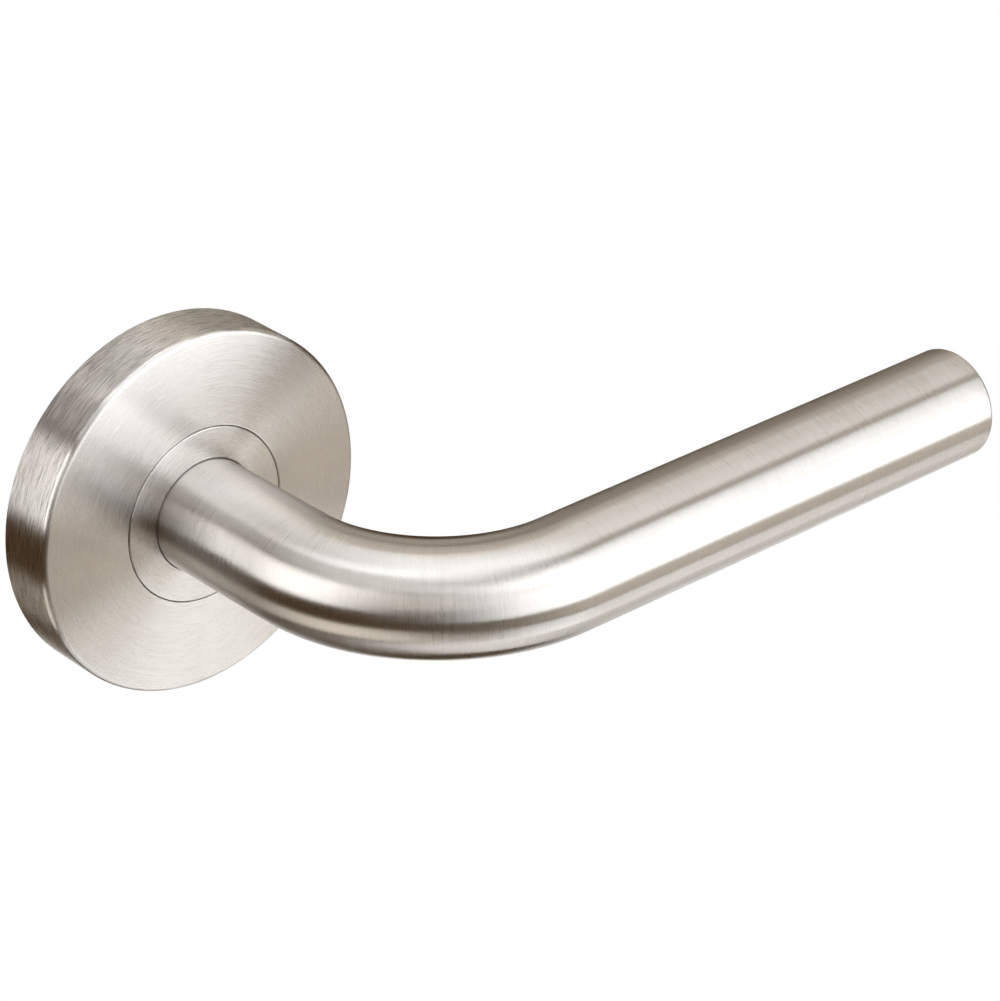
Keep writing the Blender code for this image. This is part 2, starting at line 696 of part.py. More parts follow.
def sleeve_nut(name, side, parent):
    """A threaded sleeve through the base plate, open at its rear end and slotted at its head."""
    under_head = BASE_WEB_FRONT + CLEARANCE
    thread_end = 0.0030
    chamfer = 0.0004
    profile = [
        (0, thread_end),
        (SLEEVE_THREAD_RADIUS, thread_end),
        (SLEEVE_THREAD_RADIUS, chamfer - SLEEVE_BEHIND_DOOR),
        (SLEEVE_THREAD_RADIUS + chamfer, -SLEEVE_BEHIND_DOOR),
        (SLEEVE_RADIUS - chamfer / 2, -SLEEVE_BEHIND_DOOR),
        (SLEEVE_RADIUS, chamfer / 2 - SLEEVE_BEHIND_DOOR),
        (SLEEVE_RADIUS, under_head),
        (SLEEVE_HEAD_RADIUS, under_head),
        (SLEEVE_HEAD_RADIUS, SLEEVE_HEAD_FRONT - chamfer),
        (SLEEVE_HEAD_RADIUS - chamfer, SLEEVE_HEAD_FRONT),
        (0, SLEEVE_HEAD_FRONT),
    ]
    nut = turned(name, profile, PLATED_STEEL, parent, sides=24)
    nut.location = (0, 0, side * FIXING_CENTRES / 2)
    size = (3 * SLEEVE_HEAD_RADIUS, 2 * SLEEVE_SLOT_DEPTH, SLEEVE_SLOT_WIDTH)
    cut(nut, block(f"{name}_slot", size, (0, -SLEEVE_HEAD_FRONT, 0)))
    return nut


# The cover rose.


def cover_rose(parent):
    """The drawn cover: a cylindrical rim, a rounded front edge and a very flat conical face with its hole."""
    hole = COLLAR_RADIUS + CLEARANCE
    inner = ROSE_RADIUS - ROSE_WALL
    face_outer = ROSE_RADIUS - ROSE_EDGE_ROUND
    face_height = ROSE_RIM_HEIGHT + ROSE_FACE_RISE
    edge = arc((face_outer, ROSE_RIM_HEIGHT - ROSE_EDGE_ROUND), ROSE_EDGE_ROUND, 0, 90, 4)
    profile = [
        (inner, 0),
        (ROSE_RADIUS, 0),
        *edge,
        (hole + SMALL_CHAMFER, face_height),
        (hole, face_height - SMALL_CHAMFER),
        (hole, face_height - ROSE_WALL),
        (inner - SMALL_CHAMFER, ROSE_RIM_HEIGHT - ROSE_WALL),
        (inner, ROSE_RIM_HEIGHT - ROSE_WALL - SMALL_CHAMFER),
    ]
    return turned("cover_rose", profile, STAINLESS, parent, sides=ROUND_SIDES)


def build():
    clear_scene()
    fixed = pivot("fixed_to_door")
    lever = pivot("lever_axis")
    cover = pivot("cover_slide_axis")

    lever_tube(lever)
    grip_end_plug(lever)
    lever_hub(lever)
    lever_grub_screw(lever)
    spindle(lever)
    spring_driver(lever)
    retaining_ring(lever)
    thrust_washer(lever)
    wave_washer(lever)

    base_plate(fixed)
    return_spring(fixed)
    bearing_bush(fixed)
    neck_collar(fixed)
    cassette_cover(fixed)
    for number, angle in enumerate(CASSETTE_SCREW_ANGLES, 1):
        cassette_screw(number, angle, fixed)
    cover_retaining_ring(fixed)
    sleeve_nut("sleeve_nut_upper", 1, fixed)
    sleeve_nut("sleeve_nut_lower", -1, fixed)

    cover_rose(cover)


build()
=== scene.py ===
"""The looks of the sprung door lever handle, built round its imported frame.

Every piece is modelled again finely inside the space of its CAD node, and given its own metal or plastic.
The frame's origin is on the spindle axis at the door's face, +Y goes into the door, +X runs along the grip
and +Z is up. A height is a distance in front of the door's face, so a point at height h has y = -h. An angle
round the spindle axis is measured from +X towards +Z.

Lengths are in metres, but a list named corners, and the sizes that it is made from, are in millimetres.
"""

from math import asin, ceil, cos, degrees, pi, radians, sin, tan

import bmesh
import bpy
from mathutils import Matrix, Vector


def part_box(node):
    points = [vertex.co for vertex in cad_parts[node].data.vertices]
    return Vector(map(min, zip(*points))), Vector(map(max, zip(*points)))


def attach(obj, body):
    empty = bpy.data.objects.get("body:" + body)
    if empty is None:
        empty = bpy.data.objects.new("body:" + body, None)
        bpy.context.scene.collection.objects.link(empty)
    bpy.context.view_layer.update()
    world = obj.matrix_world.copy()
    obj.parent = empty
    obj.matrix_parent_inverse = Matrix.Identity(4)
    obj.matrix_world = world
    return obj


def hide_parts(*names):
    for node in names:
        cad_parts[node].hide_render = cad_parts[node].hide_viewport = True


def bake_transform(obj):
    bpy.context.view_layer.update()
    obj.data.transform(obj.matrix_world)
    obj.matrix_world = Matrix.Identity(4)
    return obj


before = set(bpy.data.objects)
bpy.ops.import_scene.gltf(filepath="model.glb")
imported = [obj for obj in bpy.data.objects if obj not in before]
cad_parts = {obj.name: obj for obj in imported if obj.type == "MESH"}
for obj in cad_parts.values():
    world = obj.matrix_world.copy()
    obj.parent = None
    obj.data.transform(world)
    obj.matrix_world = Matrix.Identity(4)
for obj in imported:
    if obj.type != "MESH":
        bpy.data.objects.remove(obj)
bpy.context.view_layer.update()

MM = 0.001
CLEARANCE = 0.3 * MM


def node_size(node):
    low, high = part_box(node)
    return Vector(high) - Vector(low)


def node_front(node):
    """The height of the node's front, in front of the door's face."""
    return -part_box(node)[0][1]


def node_rear(node):
    """The height of the node's rear, below nought behind the door's face."""
    return -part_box(node)[1][1]


# Sizes read from the frame.
TUBE_RADIUS = node_size("lever_tube").z / 2
TUBE_BORE = node_size("grip_end_plug").z / 2 + CLEARANCE
TUBE_END = node_rear("lever_tube")
GRIP_DISTANCE = node_front("lever_tube") - TUBE_RADIUS
GRIP_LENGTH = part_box("lever_tube")[1][0]
ROSE_RADIUS = node_size("cover_rose").z / 2
ROSE_FRONT = node_front("cover_rose")
COLLAR_RADIUS = node_size("neck_collar").z / 2
COLLAR_FRONT = node_front("neck_collar")
BASE_RADIUS = node_size("base_plate").z / 2
BASE_FRONT = node_front("base_plate")
BUSH_RADIUS = node_size("bearing_bush").z / 2
SPINDLE_SIDE = node_size("spindle").z
FIXING_OFFSET = (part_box("sleeve_nut_upper")[0][2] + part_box("sleeve_nut_upper")[1][2]) / 2

# Sizes that the boxes can't give, as the CAD has them.
BEND_RADIUS = 30.7 * MM
GRUB_HEIGHT = 20.0 * MM
GRUB_HOLE_RADIUS = 2.8 * MM
JOURNAL_RADIUS = 8.0 * MM
HOUSING_INNER_RADIUS = 13.3 * MM
HOUSING_OUTER_RADIUS = 14.7 * MM
SPRING_COIL_RADIUS = 12.3 * MM
SPRING_WIRE_RADIUS = 0.65 * MM
SPRING_TURNS = 3
LUG_ANGLE = 205.0
LUG_HALF_ANGLE = 8.0
LUG_INNER_RADIUS = 9.4 * MM
LEVER_TRAVEL = 45.0
SCREW_CIRCLE = 17.2 * MM
SCREW_ANGLES = (45, 135, 225, 315)

# The size of the round at the grip's end, which only the looks have.
TIP_ROUND = 1.0 * MM

# The studio's lights stand round the middle of the lever.
LIGHT_TARGET = Vector((45.0, -40.0, 0.0)) * MM
LIGHT_DISTANCE = 1.5

# How many sides the turned shapes have, and the angle in degrees above which an edge is sharp.
FINE_SIDES = 192
SIDES = 96
SCREW_SIDES = 40
SMALL_SIDES = 24
CREASE = 28.0


# Points and profiles.


def around(radius, angle, height):
    """The point at a radius and an angle round the spindle axis, at a height in front of the door."""
    turn = radians(angle)
    return Vector((radius * cos(turn), -height, radius * sin(turn)))


def place_at(radius, angle):
    """The (x, z) place at a radius and an angle round the spindle axis."""
    point = around(radius, angle, 0)
    return point.x, point.z


def rounded(corners, closed=True, steps=5):
    """A profile in metres for (radius, height, round) corners in millimetres, with an arc for each round."""
    points = []
    count = len(corners)
    for index, (radius, height, size) in enumerate(corners):
        here = Vector((radius, height)) * MM
        at_end = not closed and index in (0, count - 1)
        if size == 0 or at_end:
            points.append((here.x, here.y))
            continue
        before = (Vector(corners[index - 1][:2]) * MM - here).normalized()
        after = (Vector(corners[(index + 1) % count][:2]) * MM - here).normalized()
        half = before.angle(after) / 2
        centre = here + (before + after).normalized() * size * MM / sin(half)
        reach = size * MM / tan(half)
        first, last = here + before * reach - centre, here + after * reach - centre
        sweep = first.angle_signed(last)
        for step in range(steps + 1):
            turned_by = Matrix.Rotation(-sweep * step / steps, 2)
            point = centre + turned_by @ first
            points.append((point.x, point.y))
    return points


def distances(points):
    """How far along a closed line each point lies, with the whole length at the end."""
    run = [0.0]
    for here, there in zip(points, points[1:] + points[:1]):
        run.append(run[-1] + (Vector(there) - Vector(here)).length)
    return run


# Meshes.


def made_object(name, mesh):
    """Turns a bmesh into an object with its faces pointing out, smooth but for its sharp edges."""
    bmesh.ops.recalc_face_normals(mesh, faces=mesh.faces)
    data = bpy.data.meshes.new(name)
    mesh.to_mesh(data)
    mesh.free()
    data.shade_smooth()
    data.set_sharp_from_angle(angle=radians(CREASE))
    thing = bpy.data.objects.new(name, data)
    bpy.context.scene.collection.objects.link(thing)
    return thing


def loft(name, rings, run, closed):
    """A surface through rings of points. A ring of one point closes an end.

    The map named brush holds the distance along the rings, in metres, and the turn round them, from 0 to 1.
    """
    mesh = bmesh.new()
    brush = mesh.loops.layers.uv.new("brush")
    sides = max(len(ring) for ring in rings)
    loops = [[mesh.verts.new(point) for point in ring] for ring in rings]
    last = len(rings) if closed else len(rings) - 1
    for near in range(last):
        far = (near + 1) % len(rings)
        for side in range(sides):
            corners = (
                (near, near, side),
                (near, near, side + 1),
                (far, near + 1, side + 1),
                (far, near + 1, side),
            )
            verts, maps = [], []
            for ring, place, turn in corners:
                vert = loops[ring][turn % len(loops[ring])]
                if vert not in verts:
                    verts.append(vert)
                    maps.append((run[place], turn / sides))
            face = mesh.faces.new(verts)
            for loop, value in zip(face.loops, maps):
                loop[brush].uv = value
    return made_object(name, mesh)


def turned(name, profile, sides=SIDES):
    """A shape turned about the spindle axis from (radius, height) points in metres.

    A profile that starts and ends on the axis makes a solid; any other is closed into a ring.
    """
    closed = profile[0][0] > 0
    rings = []
    for radius, height in profile:
        count = sides if radius > 0 else 1
        rings.append([around(radius, 360 * side / sides, height) for side in range(count)])
    return loft(name, rings, distances(profile), closed)


def threaded(name, profile, wall, pitch, depth, low, high, sides=SCREW_SIDES):
    """A turned solid whose wall, at one radius, has a helical thread between two heights.

    A depth below nought cuts outwards.
    """
    steps_per_pitch, near = 6, 1e-6
    fine = []
    for (radius, height), (next_radius, next_height) in zip(profile, profile[1:] + profile[:1]):
        fine.append((radius, height))
        upright = abs(radius - wall) < near and abs(next_radius - wall) < near
        if upright and min(height, next_height) < low + near and max(height, next_height) > high - near:
            steps = ceil((high - low) / pitch * steps_per_pitch)
            ends = (low, high) if next_height > height else (high, low)
            fine += [(wall, ends[0] + (ends[1] - ends[0]) * step / steps) for step in range(1, steps)]
    rings = []
    for radius, height in fine:
        count = sides if radius > 0 else 1
        ring = []
        for side in range(count):
            cut_in = 0.0
            if abs(radius - wall) < near and low < height < high:
                phase = (height / pitch + side / sides) % 1.0
                fade = min(1.0, (height - low) / pitch, (high - height) / pitch)
                cut_in = depth * fade * abs(2 * phase - 1)
            ring.append(around(radius - cut_in, 360 * side / sides, height))
        rings.append(ring)
    return loft(name, rings, distances(fine), False)


def prism(name, outline, low, high):
    """A flat plate between two heights, whose outline is a list of (x, z) points."""
    mesh = bmesh.new()
    face = mesh.faces.new([mesh.verts.new((x, -low, z)) for x, z in outline])
    made = bmesh.ops.extrude_face_region(mesh, geom=[face])["geom"]
    moved = [part for part in made if isinstance(part, bmesh.types.BMVert)]
    bmesh.ops.translate(mesh, verts=moved, vec=(0, low - high, 0))
    return made_object(name, mesh)


def block(name, size, centre, spin=0.0):
    """A box of a size (x, y, z) at a centre, turned about the spindle axis from +X towards +Z."""
    mesh = bmesh.new()
    bmesh.ops.create_cube(mesh, size=1.0)
    bmesh.ops.scale(mesh, vec=size, verts=mesh.verts)
    bmesh.ops.translate(mesh, vec=centre, verts=mesh.verts)
    bmesh.ops.rotate(mesh, cent=(0, 0, 0), matrix=Matrix.Rotation(radians(-spin), 3, "Y"), verts=mesh.verts)
    return made_object(name, mesh)


def rod(name, profile, place=(0, 0), sides=SCREW_SIDES):
    """A solid turned about an axis along Y through an (x, z) place."""
    thing = turned(name, profile, sides)
    thing.data.transform(Matrix.Translation((place[0], 0, place[1])))
    return thing


def plain_rod(radius, low, high):
    return [(0, low), (radius, low), (radius, high), (0, high)]


def apply_modifiers(thing):
    """Makes the object's modifiers part of its mesh."""
    graph = bpy.context.evaluated_depsgraph_get()
    data = bpy.data.meshes.new_from_object(thing.evaluated_get(graph), depsgraph=graph)
    data.name = thing.name
    thing.modifiers.clear()
    thing.data = data
    data.shade_smooth()
    data.set_sharp_from_angle(angle=radians(CREASE))


def combine(target, helpers, operation):
    """Joins helper shapes to the target, or cuts them from it, and removes them."""
    for helper in helpers:
        step = target.modifiers.new(helper.name, "BOOLEAN")
        step.operation = operation
        step.object = helper
        step.solver = "EXACT"
    apply_modifiers(target)
    for helper in helpers:
        bpy.data.objects.remove(helper, do_unlink=True)


def cut(target, *helpers):
    combine(target, helpers, "DIFFERENCE")


def join(target, *helpers):
    combine(target, helpers, "UNION")


def soften(thing, width, segments=2):
    """Rounds the object's sharp edges."""
    sharp_above = 35.0
    bevel = thing.modifiers.new("edges", "BEVEL")
    bevel.width = width
    bevel.segments = segments
    bevel.limit_method = "ANGLE"
    bevel.angle_limit = radians(sharp_above)
    bevel.use_clamp_overlap = True
    apply_modifiers(thing)


def wire(name, points, radius, sides=16):
    """A round wire along a line of points, with domed ends.

    A dome's rings are given as their size and how far out they stand, in wire radii.
    """
    dome, dome_tip = ((0.35, 0.30), (0.75, 0.22), (1.0, 0.0)), 0.33
    last = len(points) - 1
    turns = [2 * pi * side / sides for side in range(sides)]
    directions = []
    for index in range(len(points)):
        ahead = points[min(index + 1, last)] - points[max(index - 1, 0)]
        directions.append(ahead.normalized())
    across = directions[0].orthogonal().normalized()
    travelled = 0.0
    rings, run = [[points[0] - directions[0] * dome_tip * radius]], [travelled]
    for index, (point, direction) in enumerate(zip(points, directions)):
        across = (across - direction * across.dot(direction)).normalized()
        beside = direction.cross(across)
        shapes = [(1.0, 0.0)]
        if index == 0:
            shapes = [(scale, -out) for scale, out in dome]
        else:
            travelled += (point - points[index - 1]).length
        if index == last:
            shapes = reversed(dome)
        for scale, out in shapes:
            middle, size = point + direction * out * radius, radius * scale
            rings.append([middle + size * (cos(turn) * across + sin(turn) * beside) for turn in turns])
            run.append(travelled)
    rings.append([points[last] + directions[last] * dome_tip * radius])
    run.append(travelled)
    return loft(name, rings, run, False)


# Materials.


class Look:
    """A Principled material that is being built from nodes."""

    def __init__(self, name, colour, roughness, metallic=1.0, anisotropic=0.0):
        self.material = bpy.data.materials.new(name)
        self.material.use_nodes = True
        self.tree = self.material.node_tree
        self.shader = self.tree.nodes["Principled BSDF"]
        self.colour = colour
        self.roughness = roughness
        self.shader.inputs["Metallic"].default_value = metallic
        self.shader.inputs["Anisotropic"].default_value = anisotropic

    def node(self, kind, **settings):
        made = self.tree.nodes.new(kind)
        for key, value in settings.items():
            setattr(made, key, value)
        return made

    def link(self, output, target):
        self.tree.links.new(output, target)

    def maths(self, operation, first, second=None):
        node = self.node("ShaderNodeMath", operation=operation)
        for socket, value in zip(node.inputs, (first, second)):
            if isinstance(value, (int, float)):
                socket.default_value = value
            elif value is not None:
                self.link(value, socket)
        return node.outputs[0]

    def noise(self, vector, scale=1.0, detail=3.0, rough=0.5, distortion=0.0):
        """Noise with its middle at nought."""
        node = self.node("ShaderNodeTexNoise")
        node.inputs["Scale"].default_value = scale
        node.inputs["Detail"].default_value = detail
        node.inputs["Roughness"].default_value = rough
        node.inputs["Distortion"].default_value = distortion
        self.link(vector, node.inputs["Vector"])
        return self.maths("SUBTRACT", node.outputs["Fac"], 0.5)

    def brush_vector(self, across, along, slant=0.0):
        """Coordinates that change quickly across the grain and slowly along it, with no seam round the piece.

        across is in streaks for each metre and along in streaks for each radian. A slant makes the grain sway
        to and fro round the piece, by that many streaks.
        """
        sways = 5.0
        brush = self.node("ShaderNodeUVMap", uv_map="brush")
        parts = self.node("ShaderNodeSeparateXYZ")
        self.link(brush.outputs["UV"], parts.inputs[0])
        turn = self.maths("MULTIPLY", parts.outputs["Y"], 2 * pi)
        distance = self.maths("MULTIPLY", parts.outputs["X"], across)
        vector = self.node("ShaderNodeCombineXYZ")
        if slant:
            lean = self.maths("MULTIPLY", self.maths("SINE", self.maths("MULTIPLY", turn, sways)), slant)
            distance = self.maths("ADD", distance, lean)
        self.link(distance, vector.inputs[0])
        self.link(self.maths("MULTIPLY", self.maths("COSINE", turn), along), vector.inputs[1])
        self.link(self.maths("MULTIPLY", self.maths("SINE", turn), along), vector.inputs[2])
        return vector.outputs[0]

    def object_vector(self):
        return self.node("ShaderNodeTexCoord").outputs["Object"]

    def grain_tangent(self):
        """Spreads the reflections across the grain of the brush map."""
        tangent = self.node("ShaderNodeTangent", direction_type="UV_MAP", uv_map="brush")
        self.link(tangent.outputs[0], self.shader.inputs["Tangent"])

    def tint(self, change, spread=1.0):
        """Lightens and darkens the base colour by a change round nought."""
        factor = self.maths("ADD", self.maths("MULTIPLY", change, spread), 1.0)
        scale = self.node("ShaderNodeVectorMath", operation="SCALE")
        scale.inputs[0].default_value = self.colour
        self.link(factor, scale.inputs["Scale"])
        self.link(scale.outputs[0], self.shader.inputs["Base Color"])

    def roughen(self, change, spread=1.0):
        """Raises and lowers the roughness by a change round nought."""
        rough = self.maths("ADD", self.maths("MULTIPLY", change, spread), self.roughness)
        self.link(rough, self.shader.inputs["Roughness"])

    def bump(self, height, distance):
        bump = self.node("ShaderNodeBump")
        bump.inputs["Distance"].default_value = distance
        bump.inputs["Strength"].default_value = 1.0
        self.link(height, bump.inputs["Height"])
        self.link(bump.outputs[0], self.shader.inputs["Normal"])


def brushed_metal(name, roughness, anisotropic, streak, along, depth, contrast, slant=0.0):
    """Satin-brushed steel: two sets of fine streaks, which cross where they slant, and one of broad streaks.

    streak is the width of a fine streak. The second set and the broad streaks are coarser by a fixed part.
    """
    second_fineness, broad_fineness, broad_along = 0.8, 0.18, 0.4
    broad_share, fine_roughness, cloud_roughness = 0.25, 0.12, 0.10
    look = Look(name, STEEL, roughness, anisotropic=anisotropic)
    look.grain_tangent()
    leaning = look.noise(look.brush_vector(1 / streak, along, slant), detail=3.0, rough=0.65)
    second = look.brush_vector(second_fineness / streak, along * second_fineness, -slant)
    crossing = look.noise(second, detail=3.0, rough=0.65)
    broad = look.noise(look.brush_vector(broad_fineness / streak, along * broad_along), detail=2.0)
    cloud = look.noise(look.object_vector(), scale=90.0, detail=3.0)
    fine = look.maths("ADD", leaning, crossing)
    look.tint(look.maths("ADD", fine, look.maths("MULTIPLY", broad, broad_share)), contrast)
    uneven = look.maths("MULTIPLY", fine, fine_roughness)
    look.roughen(look.maths("ADD", uneven, look.maths("MULTIPLY", cloud, cloud_roughness)))
    look.bump(fine, depth)
    return look.material


def cast_metal(name, colour, roughness):
    """Die-cast zinc: a dull skin with a fine orange-peel grain and slight staining."""
    contrast, grain_share, unevenness = 0.42, 0.7, 0.22
    depth, stain_depth = 0.12 * MM, 1.5
    look = Look(name, colour, roughness)
    grain = look.noise(look.object_vector(), scale=1500.0, detail=4.0, rough=0.65)
    stain = look.noise(look.object_vector(), scale=140.0, detail=4.0, distortion=0.6)
    look.tint(look.maths("ADD", look.maths("MULTIPLY", grain, grain_share), stain), contrast)
    look.roughen(look.maths("ADD", grain, stain), unevenness)
    look.bump(look.maths("ADD", grain, look.maths("MULTIPLY", stain, stain_depth)), depth)
    return look.material


def plated_metal(name, colour, roughness):
    """Zinc-plated or oiled steel: a fine grain and cloudy patches in the skin."""
    contrast, grain_share, unevenness, depth = 0.30, 0.4, 0.25, 0.012 * MM
    look = Look(name, colour, roughness)
    mist = look.noise(look.object_vector(), scale=320.0, detail=5.0, rough=0.6)
    grain = look.noise(look.object_vector(), scale=4200.0, detail=2.0)
    look.tint(look.maths("ADD", mist, look.maths("MULTIPLY", grain, grain_share)), contrast)
    look.roughen(mist, unevenness)
    look.bump(look.maths("ADD", grain, mist), depth)
    return look.material


def moulded_nylon(name, colour, roughness):
    """Slightly translucent plastic with a faint grain."""
    contrast, unevenness, depth = 0.08, 0.20, 0.02 * MM
    look = Look(name, colour, roughness, metallic=0.0)
    look.shader.inputs["Subsurface Weight"].default_value = 0.25
    look.shader.inputs["Subsurface Radius"].default_value = (1.5 * MM, 1.2 * MM, 0.9 * MM)
    grain = look.noise(look.object_vector(), scale=3000.0, detail=3.0)
    cloud = look.noise(look.object_vector(), scale=200.0, detail=2.0)
    look.tint(look.maths("ADD", grain, cloud), contrast)
    look.roughen(grain, unevenness)
    look.bump(grain, depth)
    return look.material


STEEL = (0.675, 0.650, 0.624)
tube_metal = brushed_metal(
    "brushed_tube",
    roughness=0.30,
    anisotropic=0.96,
    streak=0.13 * MM,
    along=2.0,
    depth=0.013 * MM,
    contrast=0.27,
)
face_metal = brushed_metal(
    "brushed_face",
    roughness=0.28,
    anisotropic=1.0,
    streak=0.12 * MM,
    along=5.0,
    depth=0.005 * MM,
    contrast=0.26,
)
rim_metal = brushed_metal(
    "brushed_rim",
    roughness=0.28,
    anisotropic=1.0,
    streak=0.085 * MM,
    along=12.0,
    depth=0.006 * MM,
    contrast=1.9,
    slant=9.0,
)
collar_metal = brushed_metal(
    "turned_collar",
    roughness=0.27,
    anisotropic=1.0,
    streak=0.13 * MM,
    along=4.0,
    depth=0.004 * MM,
    contrast=0.24,
)
zinc = cast_metal("cast_zinc", (0.54, 0.54, 0.55), 0.48)
plated = plated_metal("plated_steel", (0.68, 0.68, 0.65), 0.34)
spring_steel = plated_metal("spring_steel", (0.17, 0.165, 0.16), 0.34)
black_steel = plated_metal("black_steel", (0.09, 0.09, 0.095), 0.38)
nylon = moulded_nylon("white_nylon", (0.78, 0.77, 0.71), 0.42)


def dress(thing, material, body, node):
    """Gives a finished piece its material and its body, and hides the CAD node that it stands for."""
    thing.data.materials.clear()
    thing.data.materials.append(material)
    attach(thing, body)
    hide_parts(node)


# The lever.


def lever_line():
    """Points and directions along the lever's centreline, from the tube's rear end to its tip's round."""
    bend_start = GRIP_DISTANCE - BEND_RADIUS
    neck_steps, bend_steps, grip_steps = 8, 72, 28
    stations = []
    for step in range(neck_steps):
        height = TUBE_END + (bend_start - TUBE_END) * step / neck_steps
        stations.append((Vector((0, -height, 0)), Vector((0, -1, 0))))
    for step in range(bend_steps + 1):
        turn = pi / 2 * step / bend_steps
        point = Vector((BEND_RADIUS * (1 - cos(turn)), -(bend_start + BEND_RADIUS * sin(turn)), 0))
        stations.append((point, Vector((sin(turn), -cos(turn), 0))))
    for step in range(1, grip_steps + 1):
        x = BEND_RADIUS + (GRIP_LENGTH - TIP_ROUND - BEND_RADIUS) * step / grip_steps
        stations.append((Vector((x, -GRIP_DISTANCE, 0)), Vector((1, 0, 0))))
    return stations


def lever_tube():
    """The neck, elbow and grip in one length of tube, with a rounded end and the grub screw's hole."""
    sides, round_steps = 144, 8
    bore_chamfer = 0.1 * MM
    up = Vector((0, 0, 1))
    stations = lever_line()
    turns = [2 * pi * side / sides - pi / 2 for side in range(sides)]

    def ring(point, direction, radius):
        across = direction.cross(up)
        return [point + radius * (cos(turn) * across + sin(turn) * up) for turn in turns]

    rings = [ring(point, direction, TUBE_RADIUS) for point, direction in stations]
    end, along = stations[-1]
    for step in range(1, round_steps + 1):
        turn = pi / 2 * step / round_steps
        middle = end + along * TIP_ROUND * sin(turn)
        rings.append(ring(middle, along, TUBE_RADIUS - TIP_ROUND * (1 - cos(turn))))
    rings.append(ring(end + along * TIP_ROUND, along, TUBE_BORE + bore_chamfer))
    rings.append(ring(end + along * (TIP_ROUND - bore_chamfer), along, TUBE_BORE))
    rings += [ring(point, direction, TUBE_BORE) for point, direction in reversed(stations[:-1])]
    run = [0.0]
    for here, there in zip(rings, rings[1:] + rings[:1]):
        inside, outside = (here[0] - there[0]).length, (here[sides // 2] - there[sides // 2]).length
        run.append(run[-1] + max(inside, outside))
    tube = loft("lever_tube_brushed", rings, run, True)
    low, sink_start, high = 6.0 * MM, 9.75 * MM, 10.3 * MM
    sink_radius = GRUB_HOLE_RADIUS + 0.5 * MM
    hole = plain_rod(GRUB_HOLE_RADIUS, low, sink_start)[:-1] + [(sink_radius, high), (0, high)]
    cutter = turned("tube_hole", hole, SCREW_SIDES)
    cutter.data.transform(under_neck())
    cut(tube, cutter)
    dress(tube, tube_metal, "lever", "lever_tube")


def under_neck():
    """Makes a shape that lies along the spindle axis point down through the neck's grub screw hole."""
    return Matrix.Translation((0, -GRUB_HEIGHT, 0)) @ Matrix.Rotation(pi / 2, 4, "X")


def grip_end_plug():
    """The cup-shaped disc in the end of the grip, with a faint turned dish in its face."""
    outer = (TUBE_BORE - 0.06 * MM) / MM
    cup, cup_floor, depth = outer - 1.2, 3.0, 9.0
    face, dish_rim, dish_floor = 0.06, 6.6, 5.2
    corners = [
        (0, 0.22, 0),
        (dish_floor, 0.18, 2.0),
        (dish_rim, face, 0.8),
        (outer, face, 0.15),
        (outer, depth, 0.3),
        (cup, depth, 0.3),
        (cup, cup_floor, 0.4),
        (0, cup_floor, 0),
    ]
    plug = turned("grip_end_disc", rounded(corners, closed=False), SIDES)
    to_grip_end = Matrix.Translation((GRIP_LENGTH, -GRIP_DISTANCE, 0)) @ Matrix.Rotation(-pi / 2, 4, "Z")
    plug.data.transform(to_grip_end)
    dress(plug, collar_metal, "lever", "grip_end_plug")


def lever_hub():
    """The insert in the neck, with its journal, ring groove, driving flats, square socket and screw hole."""
    front, rear = node_front("lever_hub") / MM, node_rear("lever_hub") / MM
    fit, journal = node_size("lever_hub").z / 2 / MM, JOURNAL_RADIUS / MM
    shoulder = TUBE_END / MM
    groove, groove_front, groove_rear = 7.3, 2.8, 1.4
    corners = [
        (0, front, 0),
        (fit, front, 0.6),
        (fit, shoulder, 0.05),
        (journal, shoulder, 0.05),
        (journal, groove_front, 0.08),
        (groove, groove_front, 0.08),
        (groove, groove_rear, 0.08),
        (journal, groove_rear, 0.08),
        (journal, rear, 0.3),
        (0, rear, 0),
    ]
    hub = turned("neck_insert", rounded(corners, closed=False, steps=3), SIDES)
    flat_size, flat_offset, flat_height = Vector((4.0, 4.8, 20.0)) * MM, 8.7 * MM, 2.25 * MM
    cutters = []
    for side in (-1, 1):
        cutters.append(block(f"hub_flat_{side}", flat_size, (side * flat_offset, -flat_height, 0)))
    socket, socket_front, socket_rear = SPINDLE_SIDE + 2 * CLEARANCE, 30.5 * MM, -1.0 * MM
    size = (socket, socket_front - socket_rear, socket)
    cutters.append(block("hub_socket", size, (0, -(socket_front + socket_rear) / 2, 0)))
    hole = turned("hub_hole", plain_rod(GRUB_HOLE_RADIUS, 3.0 * MM, 12.0 * MM), SCREW_SIDES)
    hole.data.transform(under_neck())
    cut(hub, *cutters, hole)
    soften(hub, 0.12 * MM)
    dress(hub, zinc, "lever", "lever_hub")


def grub_screw():
    """A hexagon socket set screw with its thread and cup point, standing in the hole under the neck."""
    radius, tip, head = 2.5, 4.3, 9.8
    cup_radius, tip_radius, cone = 0.9, 1.5, 1.0
    chamfer, socket_rim, socket_depth = 0.45, 1.75, 2.5
    corners = [
        (0, tip + 0.5, 0),
        (cup_radius, tip, 0.1),
        (tip_radius, tip, 0.1),
        (radius, tip + cone, 0.1),
        (radius, head - 0.5, 0),
        (radius - chamfer, head, 0.1),
        (socket_rim, head, 0.05),
        (0, head, 0),
    ]
    profile = rounded(corners, closed=False, steps=3)
    pitch, depth = 0.8 * MM, 0.35 * MM
    low, high = (tip + 1.1) * MM, (head - 0.55) * MM
    screw = threaded("neck_set_screw", profile, radius * MM, pitch, depth, low, high)
    hexagon_radius = 1.44 * MM
    hexagon = plain_rod(hexagon_radius, (head - socket_depth) * MM, (head + 1.0) * MM)
    key = turned("key_socket", hexagon, sides=6)
    cut(screw, key)
    screw.data.transform(under_neck())
    dress(screw, black_steel, "lever", "lever_grub_screw")


